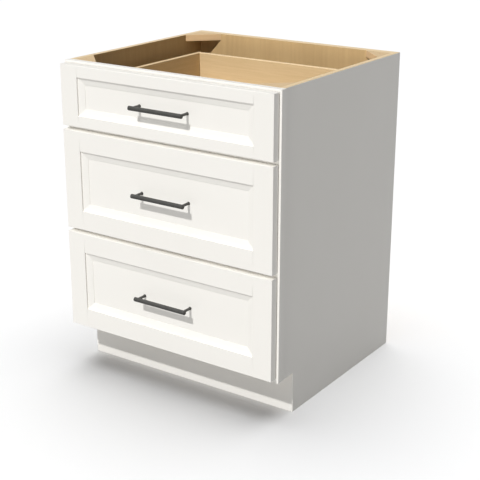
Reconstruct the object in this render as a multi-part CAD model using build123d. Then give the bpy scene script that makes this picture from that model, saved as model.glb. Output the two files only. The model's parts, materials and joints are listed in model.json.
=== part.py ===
from build123d import *
from dataclasses import dataclass
import math
import os

# Base cabinet with three drawers, on its toe kick, with an open top.
# Frame: +X to the cabinet's right, +Y to the wall, +Z up, all in millimetres.
# The origin is on the floor, in the middle of the width and of the whole depth, pulls included.

# ---------------------------------------------------------------- cabinet
cabinet_width = 685.8           # across the face frame, 27 in
cabinet_height = 876.3          # floor to top edge, 34 1/2 in
cabinet_depth = 609.6           # face frame's front to the outside of the back, 24 in
toe_height = 114.3              # underside of the face frame
toe_depth = 76.2                # face frame's front to the toe board's face
side_thickness = 12.7           # structural side
skin_thickness = 3.175          # finished end skin outside it
frame_overhang = 3.175          # face frame beyond the end skin, each side
bottom_thickness = 12.7
dado_depth = 6.35               # bottom panel let into each side
back_thickness = 6.35
toe_board_thickness = 12.7
hanging_rail_height = 76.2
hanging_rail_thickness = 19.05

# ---------------------------------------------------------------- face frame
frame_thickness = 19.05
frame_stile_width = 38.1
frame_rail_width = 38.1

# ---------------------------------------------------------------- corner blocks
block_leg = 76.2
block_thickness = 19.05
block_hole_radius = 2.5
block_hole_inset = 22.0         # hole to each of the two walls that the block joins

# ---------------------------------------------------------------- drawer fronts
top_front_height = 165.1
front_thickness = 22.225
front_gap = 11.1125             # between one front and the next
top_reveal = 6.35               # face frame left showing above the top front
bottom_reveal = 12.7            # and below the bottom one
side_reveal = 6.35              # and beside each front
bumper_gap = 3.175              # face frame to the back of a closed front
front_edge_chamfer = 1.5
front_stile_width = 57.15
top_front_rail_width = 31.0
deep_front_rail_width = 55.0
step_depth = 4.0                # square step down from the front's frame
slope_run = 19.5                # width of the sloping border inside the step
slope_drop = 5.2                # further drop along the border
slope_lip = 0.8                 # small step from the border's inner edge to the panel
panel_thickness = 6.35
panel_groove_depth = 9.5
panel_float = 1.5               # panel's edge short of the groove's bottom
panel_groove_clearance = 0.1    # behind the panel, in the groove
bumper_radius = 5.0
bumper_inset = 12.7
bumper_clearance = 0.1

# ---------------------------------------------------------------- drawer boxes
box_board_thickness = 12.7
slide_space = 12.7              # between the box and the face frame's stile, each side
box_bottom_clearance = 6.35     # box above the rail below it
top_box_clearance = 11.90625    # top box below the rail above it, 15/32 in
deep_box_clearance = 29.36875   # bottom box below the rail above it, 1 5/32 in
box_panel_thickness = 6.35
box_panel_rise = 12.7           # underside of the box's bottom above the box's lower edge
box_groove_depth = 6.35

# ---------------------------------------------------------------- pulls
post_spacing = 152.4            # 6 in
pull_end_overhang = 7.9375      # bar's end beyond the post's axis, 5/16 in
pull_radius = 6.0
pull_end_chamfer = 0.8
post_radius = 4.5
pull_stand_off = 34.0           # bar's axis in front of the panel's face
screw_radius = 2.08
screw_hole_clearance = 0.32     # radial, through the box front and the panel
screw_thread_clearance = 0.05   # radial, in the post
screw_engagement = 9.0          # length of screw in the post
post_bore_spare = 2.0           # bore beyond the screw's tip
screw_head_radius = 4.2
screw_head_height = 2.6
screw_slot_width = 1.1
screw_slot_depth = 1.2

# ---------------------------------------------------------------- drawer slides
slide_rear_room = 47.625        # between a slide and the hanging rail, 1 7/8 in
slide_setback = 3.175           # slide's front end behind the face frame's front
slide_rise = 50.8               # slide's centre line above the box's lower edge
slide_height = 45.0
slide_sheet = 1.2
slide_clearance = 0.3           # between one member and the next
slide_tip_gap = 2.2             # cabinet member's flanges short of the box
middle_tip_gap = 1.9            # middle member's flanges short of the box
cleat_height = 50.8

# ---------------------------------------------------------------- places worked out from the sizes
half_width = cabinet_width / 2
skin_outer_x = half_width - frame_overhang
skin_inner_x = skin_outer_x - skin_thickness
side_inner_x = skin_inner_x - side_thickness
opening_half = half_width - frame_stile_width
box_half = opening_half - slide_space
box_inner_half = box_half - box_board_thickness

recess_depth = step_depth + slope_drop + slope_lip
pull_overhang = bumper_gap + front_thickness - recess_depth + pull_stand_off + pull_radius
face_y = (pull_overhang - cabinet_depth) / 2
frame_back_y = face_y + frame_thickness
wall_y = face_y + cabinet_depth
back_inner_y = wall_y - back_thickness
hanging_rail_y = back_inner_y - hanging_rail_thickness
toe_y = face_y + toe_depth
toe_board_back_y = toe_y + toe_board_thickness
bottom_top_z = toe_height + frame_rail_width
bottom_under_z = bottom_top_z - bottom_thickness

front_back_y = face_y - bumper_gap
front_face_y = front_back_y - front_thickness
step_y = front_face_y + step_depth
slope_end_y = step_y + slope_drop
panel_face_y = front_face_y + recess_depth
panel_back_y = panel_face_y + panel_thickness
front_half = half_width - side_reveal
front_open_half = front_half - front_stile_width

slide_front_y = face_y + slide_setback
slide_length = hanging_rail_y - slide_rear_room - slide_front_y
box_front_inner_y = front_back_y + box_board_thickness
box_end_y = front_back_y + slide_length
box_back_inner_y = box_end_y - box_board_thickness

fronts_height = cabinet_height - top_reveal - bottom_reveal - toe_height - 2 * front_gap
deep_front_height = (fronts_height - top_front_height) / 2


@dataclass(frozen=True)
class Drawer:
    """One drawer's heights: its front, that front's rails, and the box behind it."""

    name: str
    front_low: float
    front_high: float
    rail_width: float
    box_low: float
    box_high: float

    @property
    def mid_z(self):
        return (self.front_low + self.front_high) / 2

    @property
    def slide_z(self):
        return self.box_low + slide_rise


# ---------------------------------------------------------------- shapes used again and again
def board(x_limits, y_limits, z_limits):
    """A square-edged board between two limits on each axis."""
    sizes = [high - low for low, high in (x_limits, y_limits, z_limits)]
    corner = Pos(x_limits[0], y_limits[0], z_limits[0])
    return corner * Box(*sizes, align=(Align.MIN, Align.MIN, Align.MIN))


def prism(plane, outline, thickness):
    """An outline made solid to the side that its plane faces, whichever way it is drawn."""
    return extrude(plane * outline, thickness, dir=plane.z_dir)


def upright(y):
    """A plane at depth y that faces the front, with X to the right and Z up."""
    return Plane(origin=(0, y, 0), x_dir=(1, 0, 0), z_dir=(0, -1, 0))


def rod_y(x, z, radius, y_limits):
    """A round bar along Y."""
    return prism(upright(y_limits[1]), Pos(x, z) * Circle(radius), y_limits[1] - y_limits[0])


def mirrored(solid):
    """The same piece on the cabinet's other side."""
    return mirror(solid, about=Plane.YZ)


def save(node, *pieces):
    """Write one node, which holds one or more separate solids."""
    solids = [solid for piece in pieces for solid in piece.solids()]
    shape = solids[0] if len(solids) == 1 else Compound(children=solids)
    shape.label = node
    export_step(shape, f"parts/{node}.step")


# ---------------------------------------------------------------- carcass
def notched_board(x_limits, back_y, notch_y):
    """An upright board with the toe space cut from its lower front corner."""
    panel = board(x_limits, (frame_back_y, back_y), (0, cabinet_height))
    return panel - board(x_limits, (frame_back_y, notch_y), (0, toe_height))


def bottom_panel():
    reach = side_inner_x + dado_depth
    return board((-reach, reach), (frame_back_y, back_inner_y), (bottom_under_z, bottom_top_z))


def side_panel():
    """The right structural side, with the dado that holds the bottom panel."""
    side = notched_board((side_inner_x, skin_inner_x), back_inner_y, toe_board_back_y)
    return side - bottom_panel()


def end_skin():
    """The right finished skin, which covers the back panel's edge and the toe board's end."""
    return notched_board((skin_inner_x, skin_outer_x), wall_y, toe_y)


def back_panel():
    return board((-skin_inner_x, skin_inner_x), (back_inner_y, wall_y), (0, cabinet_height))


def hanging_rail(low_z):
    depth = (hanging_rail_y, back_inner_y)
    return board((-side_inner_x, side_inner_x), depth, (low_z, low_z + hanging_rail_height))


def toe_kick_board():
    """A board across the sides' notches, whose middle rises to the bottom panel."""
    depth = (toe_y, toe_board_back_y)
    wide = board((-skin_inner_x, skin_inner_x), depth, (0, toe_height))
    return wide + board((-side_inner_x, side_inner_x), depth, (0, bottom_under_z))


def corner_block(wall_face_y, inward):
    """The right block against the wall at wall_face_y, with inward the way to the middle."""
    outline = Polygon(
        (side_inner_x, wall_face_y),
        (side_inner_x - block_leg, wall_face_y),
        (side_inner_x, wall_face_y + inward * block_leg),
        align=None,
    )
    hole_x = side_inner_x - block_hole_inset
    hole = Pos(hole_x, wall_face_y + inward * block_hole_inset) * Circle(block_hole_radius)
    return prism(Plane.XY.offset(cabinet_height - block_thickness), outline - hole, block_thickness)


def slide_cleat(mid_z):
    """The right strip that packs a slide out to the edge of the face frame's stile."""
    height = (mid_z - cleat_height / 2, mid_z + cleat_height / 2)
    return board((opening_half, side_inner_x), (frame_back_y, hanging_rail_y), height)


# ---------------------------------------------------------------- face frame
def frame_stile():
    return board((opening_half, half_width), (face_y, frame_back_y), (toe_height, cabinet_height))


def frame_rail(low_z):
    height = (low_z, low_z + frame_rail_width)
    return board((-opening_half, opening_half), (face_y, frame_back_y), height)


# ---------------------------------------------------------------- drawer fronts
def panel_board(drawer, grow, y_limits):
    """A flat board across a front's field, larger than the field by grow on every edge."""
    half_x = front_open_half - slope_run + grow
    edge = drawer.rail_width + slope_run - grow
    return board((-half_x, half_x), y_limits, (drawer.front_low + edge, drawer.front_high - edge))


def front_blank(drawer):
    """A front's whole frame: chamfered outside, stepped and sloped inside, and grooved."""
    height = (drawer.front_low, drawer.front_high)
    blank = board((-front_half, front_half), (front_face_y, front_back_y), height)
    blank = chamfer(blank.faces().sort_by(Axis.Y)[0].edges(), front_edge_chamfer)
    opening_width = 2 * front_open_half
    opening_height = drawer.front_high - drawer.front_low - 2 * drawer.rail_width
    centre = Pos(0, drawer.mid_z)
    wide = centre * Rectangle(opening_width, opening_height)
    narrow = centre * Rectangle(opening_width - 2 * slope_run, opening_height - 2 * slope_run)
    blank -= prism(upright(step_y), wide, step_depth)
    blank -= loft([upright(step_y) * wide, upright(slope_end_y) * narrow], ruled=True)
    blank -= prism(upright(front_back_y), narrow, front_back_y - slope_end_y)
    groove = (panel_face_y, panel_back_y + panel_groove_clearance)
    return blank - panel_board(drawer, panel_groove_depth, groove)


def front_stiles(drawer, blank):
    """The two full-height members, whose sloping border is mitred at the corners."""
    low_open = drawer.front_low + drawer.rail_width
    high_open = drawer.front_high - drawer.rail_width
    slope_x = front_open_half - slope_run
    outline = Polygon(
        (front_half, drawer.front_low),
        (front_half, drawer.front_high),
        (front_open_half, drawer.front_high),
        (front_open_half, high_open),
        (slope_x, high_open - slope_run),
        (slope_x, low_open + slope_run),
        (front_open_half, low_open),
        (front_open_half, drawer.front_low),
        align=None,
    )
    stile = blank & prism(upright(front_back_y), outline, front_thickness)
    return [stile, mirrored(stile)]


def front_rails(drawer, blank):
    """The two members between the stiles, mitred the same way."""
    slope_x = front_open_half - slope_run
    rails = []
    for edge_z, inward in ((drawer.front_low, 1), (drawer.front_high, -1)):
        open_z = edge_z + inward * drawer.rail_width
        slope_z = open_z + inward * slope_run
        outline = Polygon(
            (-front_open_half, edge_z),
            (front_open_half, edge_z),
            (front_open_half, open_z),
            (slope_x, slope_z),
            (-slope_x, slope_z),
            (-front_open_half, open_z),
            align=None,
        )
        rails.append(blank & prism(upright(front_back_y), outline, front_thickness))
    return rails


def drill_for_screws(solid, drawer, y_limits):
    """The two clearance holes for the pull's screws, through one board."""
    for x in (-post_spacing / 2, post_spacing / 2):
        solid -= rod_y(x, drawer.mid_z, screw_radius + screw_hole_clearance, y_limits)
    return solid


def front_panel(drawer):
    """The flat centre panel, whose edges float in the frame's groove."""
    depth = (panel_face_y, panel_back_y)
    panel = panel_board(drawer, panel_groove_depth - panel_float, depth)
    return drill_for_screws(panel, drawer, depth)


def bumpers(drawer):
    """Four soft pads on a front's back, which meet the face frame when the drawer is shut."""
    x = front_half - bumper_inset
    depth = (front_back_y, face_y - bumper_clearance)
    heights = (drawer.front_low + bumper_inset, drawer.front_high - bumper_inset)
    return [rod_y(side * x, z, bumper_radius, depth) for side in (-1, 1) for z in heights]


# ---------------------------------------------------------------- drawer boxes
def box_bottom(drawer):
    half_x = box_inner_half + box_groove_depth
    depth = (box_front_inner_y - box_groove_depth, box_back_inner_y + box_groove_depth)
    low_z = drawer.box_low + box_panel_rise
    return board((-half_x, half_x), depth, (low_z, low_z + box_panel_thickness))


def box_end(drawer, y_limits):
    """The front or the back of a box, between its sides and grooved for its bottom."""
    height = (drawer.box_low, drawer.box_high)
    return board((-box_inner_half, box_inner_half), y_limits, height) - box_bottom(drawer)


def box_side(drawer):
    """The right side of a box, as long as the box and grooved for its bottom."""
    height = (drawer.box_low, drawer.box_high)
    return board((box_inner_half, box_half), (front_back_y, box_end_y), height) - box_bottom(drawer)


# ---------------------------------------------------------------- pulls
def pull_bar(drawer):
    half_length = post_spacing / 2 + pull_end_overhang
    centre = (-half_length, panel_face_y - pull_stand_off, drawer.mid_z)
    end = Plane(origin=centre, x_dir=(0, 1, 0), z_dir=(1, 0, 0))
    bar = prism(end, Circle(pull_radius), 2 * half_length)
    return chamfer(bar.edges().filter_by(GeomType.CIRCLE), pull_end_chamfer)


def pull_post(drawer, x, bar):
    """A round post from the panel to the bar, bored from behind for its screw."""
    post = rod_y(x, drawer.mid_z, post_radius, (panel_face_y - pull_stand_off, panel_face_y)) - bar
    bore = (panel_face_y - screw_engagement - post_bore_spare, panel_face_y)
    return post - rod_y(x, drawer.mid_z, screw_radius + screw_thread_clearance, bore)


def pull_screw(drawer, x):
    """A slotted screw through the box front and the panel, with its head inside the box."""
    head_y = box_front_inner_y + screw_head_height
    shank = rod_y(x, drawer.mid_z, screw_radius, (panel_face_y - screw_engagement, box_front_inner_y))
    head = rod_y(x, drawer.mid_z, screw_head_radius, (box_front_inner_y, head_y))
    slot = board(
        (x - screw_head_radius, x + screw_head_radius),
        (head_y - screw_slot_depth, head_y),
        (drawer.mid_z - screw_slot_width / 2, drawer.mid_z + screw_slot_width / 2),
    )
    return shank + head - slot


# ---------------------------------------------------------------- slides
def channel(web_x, tip_x, height, mid_z):
    """The right one of a pair of folded steel channels, from its web to its flanges' tips."""
    inward = math.copysign(slide_sheet, tip_x - web_x)
    length = (slide_front_y, slide_front_y + slide_length)
    low = mid_z - height / 2
    high = mid_z + height / 2
    web = board(sorted((web_x, web_x + inward)), length, (low, high))
    wings = sorted((web_x, tip_x))
    upper = board(wings, length, (high - slide_sheet, high))
    lower = board(wings, length, (low, low + slide_sheet))
    return web + upper + lower


def slide_members(drawer):
    """The cabinet, middle and drawer members of the right slide, nested in each other."""
    nesting = 2 * (slide_sheet + slide_clearance)
    middle_x = opening_half - slide_sheet - slide_clearance
    drawer_tip_x = middle_x - slide_sheet - slide_clearance
    return {
        "cabinet": channel(opening_half, box_half + slide_tip_gap, slide_height, drawer.slide_z),
        "middle": channel(middle_x, box_half + middle_tip_gap, slide_height - nesting, drawer.slide_z),
        "drawer": channel(box_half, drawer_tip_x, slide_height - 2 * nesting, drawer.slide_z),
    }


# ---------------------------------------------------------------- build
def save_pair(node, right_piece):
    """Write the right piece and its mirror image as one node."""
    save(node, right_piece, mirrored(right_piece))


def save_sides(node, right_piece):
    """Write the right piece and its mirror image as two nodes."""
    save(f"{node}_right", right_piece)
    save(f"{node}_left", mirrored(right_piece))


def lay_out_drawers():
    """The drawers from the top down, and the lower edges of the four frame rails."""
    top_low = cabinet_height - top_reveal - top_front_height
    middle_low = top_low - front_gap - deep_front_height
    bottom_low = middle_low - front_gap - deep_front_height
    behind_gap = (front_gap + frame_rail_width) / 2
    rail_lows = [
        cabinet_height - frame_rail_width,
        top_low - behind_gap,
        middle_low - behind_gap,
        toe_height,
    ]
    box_lows = [low_z + frame_rail_width + box_bottom_clearance for low_z in rail_lows[1:]]
    top_box_height = rail_lows[0] - top_box_clearance - box_lows[0]
    deep_box_height = rail_lows[2] - deep_box_clearance - box_lows[2]
    fronts = [
        ("top", top_low, top_front_height, top_front_rail_width, top_box_height),
        ("middle", middle_low, deep_front_height, deep_front_rail_width, deep_box_height),
        ("bottom", bottom_low, deep_front_height, deep_front_rail_width, deep_box_height),
    ]
    drawers = [
        Drawer(name, low_z, low_z + height, rail_width, box_low, box_low + box_height)
        for (name, low_z, height, rail_width, box_height), box_low in zip(fronts, box_lows)
    ]
    return drawers, rail_lows


def build_carcass(drawers, rail_lows):
    save_sides("side_panel", side_panel())
    save_sides("end_skin", end_skin())
    save("bottom_panel", bottom_panel())
    save("back_panel", back_panel())
    save("hanging_rail_top", hanging_rail(cabinet_height - hanging_rail_height))
    save("hanging_rail_bottom", hanging_rail(bottom_top_z))
    save("toe_kick_board", toe_kick_board())
    save_sides("frame_stile", frame_stile())
    for place, low_z in zip(("top", "upper_middle", "lower_middle", "bottom"), rail_lows):
        save(f"frame_rail_{place}", frame_rail(low_z))
    blocks = [corner_block(frame_back_y, 1), corner_block(hanging_rail_y, -1)]
    save("corner_blocks", *blocks, *[mirrored(block) for block in blocks])
    cleats = [slide_cleat(drawer.slide_z) for drawer in drawers]
    save("slide_cleats", *cleats, *[mirrored(cleat) for cleat in cleats])


def build_drawer(drawer):
    name = f"{drawer.name}_drawer"
    blank = front_blank(drawer)
    save(f"{name}_front_stiles", *front_stiles(drawer, blank))
    save(f"{name}_front_rails", *front_rails(drawer, blank))
    save(f"{name}_front_panel", front_panel(drawer))
    save(f"{name}_bumpers", *bumpers(drawer))
    box_front_depth = (front_back_y, box_front_inner_y)
    box_front = box_end(drawer, box_front_depth)
    save(f"{name}_box_front", drill_for_screws(box_front, drawer, box_front_depth))
    save(f"{name}_box_back", box_end(drawer, (box_back_inner_y, box_end_y)))
    save_pair(f"{name}_box_sides", box_side(drawer))
    save(f"{name}_box_bottom", box_bottom(drawer))
    bar = pull_bar(drawer)
    post_places = (-post_spacing / 2, post_spacing / 2)
    save(f"{name}_pull_bar", bar)
    save(f"{name}_pull_posts", *[pull_post(drawer, x, bar) for x in post_places])
    save(f"{name}_pull_screws", *[pull_screw(drawer, x) for x in post_places])
    for member, piece in slide_members(drawer).items():
        save_pair(f"{drawer.name}_slide_{member}_members", piece)


def build():
    os.makedirs("parts", exist_ok=True)
    drawers, rail_lows = lay_out_drawers()
    build_carcass(drawers, rail_lows)
    for drawer in drawers:
        build_drawer(drawer)
        print(f"{drawer.name} front {drawer.front_low:.2f} to {drawer.front_high:.2f},"
              f" box {drawer.box_low:.2f} to {drawer.box_high:.2f}")
    print(f"face frame front at y {face_y:.3f}, slides {slide_length:.1f} long")


build()
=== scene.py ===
"""Looks of a kitchen base cabinet with three drawers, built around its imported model.

Everything is in metres and in the cabinet's own frame: X to its right, Y to the wall, Z up.
Each board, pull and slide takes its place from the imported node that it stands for.
"""

import json
import logging
import math
import random
from collections.abc import Callable, Iterable, Sequence
from dataclasses import dataclass, field
from enum import Enum, StrEnum
from typing import ClassVar

import bmesh
import bpy
from mathutils import Matrix, Vector

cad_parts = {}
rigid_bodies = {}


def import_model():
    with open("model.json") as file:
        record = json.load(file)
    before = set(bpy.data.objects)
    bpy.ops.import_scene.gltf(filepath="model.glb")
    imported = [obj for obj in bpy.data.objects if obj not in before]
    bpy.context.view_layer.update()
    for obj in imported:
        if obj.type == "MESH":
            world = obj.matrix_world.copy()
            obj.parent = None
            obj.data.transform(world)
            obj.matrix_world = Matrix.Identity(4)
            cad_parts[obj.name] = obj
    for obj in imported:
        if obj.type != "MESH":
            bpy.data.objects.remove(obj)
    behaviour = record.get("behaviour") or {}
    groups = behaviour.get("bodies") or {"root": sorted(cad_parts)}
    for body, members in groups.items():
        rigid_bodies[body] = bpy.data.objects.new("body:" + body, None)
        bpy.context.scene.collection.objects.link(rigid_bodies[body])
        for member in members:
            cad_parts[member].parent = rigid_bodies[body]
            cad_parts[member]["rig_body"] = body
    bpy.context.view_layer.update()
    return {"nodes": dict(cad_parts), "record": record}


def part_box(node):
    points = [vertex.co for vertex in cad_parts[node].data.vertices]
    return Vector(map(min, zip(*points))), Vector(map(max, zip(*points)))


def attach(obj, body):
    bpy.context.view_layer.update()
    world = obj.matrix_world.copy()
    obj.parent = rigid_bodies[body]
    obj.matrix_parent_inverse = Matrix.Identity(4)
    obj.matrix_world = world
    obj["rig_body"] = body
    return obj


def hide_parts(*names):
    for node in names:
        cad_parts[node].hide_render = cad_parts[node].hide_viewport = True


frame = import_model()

LOG = logging.getLogger("cabinet")
MM = 0.001
COINCIDENT = 1e-6  # points that are nearer than this count as one
SQUARE_CORNER = 60.0  # a bend of more degrees is a corner, not a facet of a rounding
UP = Vector((0, 0, 1))

Colour = tuple[float, float, float]
Spacing = tuple[float, float, float]
Point = tuple[float, float]
Span = tuple[float, float]
Vert = bmesh.types.BMVert
Edge = bmesh.types.BMEdge
Face = bmesh.types.BMFace
Socket = bpy.types.NodeSocket
Item = bpy.types.Object
EdgeTest = Callable[[Edge], bool]
FaceTest = Callable[[Face], bool]


# ---------------------------------------------------------------- names
class Slot(StrEnum):
    """The material slots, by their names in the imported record."""

    WHITE_PAINT = "white_paint"
    PLYWOOD = "plywood"
    BOX_MAPLE = "box_maple"
    CORNER_WOOD = "corner_wood"
    PULL_METAL = "pull_metal"
    SLIDE_STEEL = "slide_steel"
    BUMPER = "bumper"


class Side(StrEnum):
    """The cabinet's two sides, by the names that their nodes end with."""

    LEFT = "left"
    RIGHT = "right"


class Drawer(StrEnum):
    """The three drawers, by the names that their nodes start with."""

    TOP = "top"
    MIDDLE = "middle"
    BOTTOM = "bottom"


class Member(StrEnum):
    """The three nested channels of a drawer slide, from the cabinet inwards."""

    CABINET = "cabinet"
    MIDDLE = "middle"
    DRAWER = "drawer"


class Group(StrEnum):
    """The objects that a lamp can treat in a way of their own."""

    FLOOR = "floor"
    PULLS = "pulls"
    FRONTS = "fronts"
    WOOD = "wood"


class Axis(Enum):
    """A direction of the cabinet's frame."""

    X = 0
    Y = 1
    Z = 2

    @property
    def unit(self) -> Vector:
        """Return the direction as a vector one metre long."""
        return Vector([float(number == self.value) for number in range(3)])

    @property
    def others(self) -> tuple[int, int]:
        """Return the numbers of the two other directions."""
        first, second = (number for number in range(3) if number != self.value)
        return first, second


# ---------------------------------------------------------------- shader maths
class Value:
    """A number that varies over a surface; arithmetic on it adds Math nodes."""

    def __init__(self, graph: "Graph", socket: Socket) -> None:
        """Wrap a node's output socket."""
        self.graph = graph
        self.socket = socket

    def __add__(self, other: "Value | float") -> "Value":
        """Return the sum."""
        return self.graph.math("ADD", self, other)

    __radd__ = __add__

    def __sub__(self, other: "Value | float") -> "Value":
        """Return this number less the other."""
        return self.graph.math("SUBTRACT", self, other)

    def __rsub__(self, other: float) -> "Value":
        """Return the other number less this one."""
        return self.graph.math("SUBTRACT", other, self)

    def __mul__(self, other: "Value | float") -> "Value":
        """Return the product."""
        return self.graph.math("MULTIPLY", self, other)

    __rmul__ = __mul__

    def wave(self) -> "Value":
        """Return a smooth wave from 0 to 1 with one crest for each whole number."""
        return self.graph.math("SINE", self * math.tau) * 0.5 + 0.5

    def between(self, low: float, high: float) -> "Value":
        """Return 0 below low and 1 above high, with a smooth change from one to the other.

        Args:
            low: The number that gives 0.
            high: The number that gives 1.

        Returns:
            The eased share of the way from low to high.
        """
        inputs = {"Value": self, "From Min": low, "From Max": high}
        node = self.graph.node("ShaderNodeMapRange", {"interpolation_type": "SMOOTHSTEP"}, inputs)
        return Value(self.graph, node.outputs["Result"])


@dataclass(frozen=True)
class Noise:
    """Soft noise from 0 to 1.

    Attributes:
        scale: How many features a metre holds, each way.
        detail: How many finer layers it has.
        limits: The two values that become 0 and 1 where the noise is sharpened.
    """

    scale: Spacing
    detail: float = 2.0
    limits: Span | None = None


class Graph:
    """The node tree of a material or a world, with short ways to add to it."""

    def __init__(self, owner: bpy.types.Material | bpy.types.World) -> None:
        """Start with an empty node tree.

        Args:
            owner: The material or world that the nodes are for.
        """
        self.owner = owner
        self.owner.use_nodes = True
        self.tree = owner.node_tree
        self.tree.nodes.clear()

    def feed(self, socket: Socket, source: object) -> None:
        """Link a socket to a value, or set what it holds.

        Args:
            socket: The input socket.
            source: A value or socket to link, or a number, colour or vector to set.
        """
        source = source.socket if isinstance(source, Value) else source
        if isinstance(source, Socket):
            self.tree.links.new(source, socket)
        elif socket.type == "RGBA":
            socket.default_value = (*source, 1.0)
        else:
            socket.default_value = source

    def node(
        self, kind: str, settings: dict[str, object] | None = None, inputs: dict | None = None
    ) -> bpy.types.Node:
        """Add a node.

        Args:
            kind: The node's type.
            settings: Its own settings, which are set first.
            inputs: What each of its sockets is fed, by name or number.

        Returns:
            The new node.
        """
        node = self.tree.nodes.new(kind)
        for name, value in (settings or {}).items():
            setattr(node, name, value)
        for name, value in (inputs or {}).items():
            self.feed(node.inputs[name], value)
        return node

    def math(self, operation: str, first: Value | float, second: Value | float = 0.0) -> Value:
        """Return the result of a Math node."""
        node = self.node("ShaderNodeMath", {"operation": operation}, {0: first, 1: second})
        return Value(self, node.outputs[0])

    def mix(self, share: Value | float, first: object, second: object) -> Socket:
        """Mix two colours.

        Args:
            share: How far the result lies from the first colour to the second.
            first: The first colour, as a socket or three numbers.
            second: The second colour.

        Returns:
            The mixed colour.
        """
        factor, colour_a, colour_b, colour_result = 0, 6, 7, 2
        inputs = {factor: share, colour_a: first, colour_b: second}
        return self.node("ShaderNodeMix", {"data_type": "RGBA"}, inputs).outputs[colour_result]

    def attribute(self, name: str, output: str) -> Socket:
        """Return what a mesh attribute holds at each point."""
        return self.node("ShaderNodeAttribute", {"attribute_name": name}).outputs[output]

    def place(self) -> Socket:
        """Return each point's place on the piece, in metres."""
        return self.node("ShaderNodeTexCoord").outputs["Object"]

    def parts(self, vector: Socket) -> list[Value]:
        """Return the three parts of a vector."""
        node = self.node("ShaderNodeSeparateXYZ", inputs={0: vector})
        return [Value(self, output) for output in node.outputs]

    def noise(self, place: Socket, pattern: Noise) -> Value:
        """Return soft noise.

        Args:
            place: Where it is read, in metres.
            pattern: How fine it is, and how it is sharpened.

        Returns:
            The noise, from 0 to 1.
        """
        stretch = {0: place, 1: pattern.scale}
        vector = self.node("ShaderNodeVectorMath", {"operation": "MULTIPLY"}, stretch).outputs[0]
        inputs = {"Vector": vector, "Scale": 1.0, "Detail": pattern.detail}
        noise = Value(self, self.node("ShaderNodeTexNoise", inputs=inputs).outputs["Fac"])
        return noise.between(*pattern.limits) if pattern.limits else noise

    def bump(self, height: Value) -> Socket:
        """Return the surface's direction once it has relief of that height in metres."""
        inputs = {"Strength": 1.0, "Distance": MM, "Height": height * (1 / MM)}
        return self.node("ShaderNodeBump", inputs=inputs).outputs["Normal"]

    def surface(self, inputs: dict[str, object]) -> bpy.types.Material:
        """Close a material with one surface shader.

        Args:
            inputs: What the shader's sockets are fed, by name.

        Returns:
            The finished material.
        """
        shader = self.node("ShaderNodeBsdfPrincipled", inputs=inputs)
        self.node("ShaderNodeOutputMaterial", inputs={"Surface": shader.outputs["BSDF"]})
        return self.owner


# ---------------------------------------------------------------- finishes
@dataclass(frozen=True)
class SatinPaint:
    """Sprayed white paint, which lets a little of the wood below show in its relief.

    A size that ends in tone says how much a noise thins the paint's colour.
    """

    name: str = "satin_white_paint"
    body: Colour = (0.885, 0.862, 0.812)
    thin: Colour = (0.862, 0.838, 0.785)
    cloud: Noise = Noise((5.0, 5.0, 5.0), detail=3.0)
    cloud_limits: Span = (0.3, 0.75)
    pebble: Noise = Noise((520.0, 520.0, 520.0))
    fibre: Noise = Noise((14.0, 620.0, 620.0), detail=3.0)
    cloud_tone: float = 0.35
    fibre_tone: float = 0.12
    pebble_depth: float = 0.02 * MM
    fibre_depth: float = 0.012 * MM
    roughness: float = 0.36
    cloud_roughness: float = 0.08
    pebble_roughness: float = 0.05
    rim_gloss: float = 0.04

    def material(self) -> bpy.types.Material:
        """Make the paint.

        Returns:
            The material.
        """
        graph = Graph(bpy.data.materials.new(self.name))
        grain = graph.attribute("grain", "Vector")
        rim = Value(graph, graph.attribute("rim", "Fac"))
        cloud = graph.noise(grain, self.cloud)
        pebble = graph.noise(grain, self.pebble)
        fibre = graph.noise(grain, self.fibre)
        tone = cloud.between(*self.cloud_limits) * self.cloud_tone + fibre * self.fibre_tone
        rough = cloud * self.cloud_roughness + pebble * self.pebble_roughness
        return graph.surface(
            {
                "Base Color": graph.mix(tone, self.body, self.thin),
                "Roughness": rough + self.roughness - rim * self.rim_gloss,
                "Normal": graph.bump(pebble * self.pebble_depth + fibre * self.fibre_depth),
            }
        )


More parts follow.
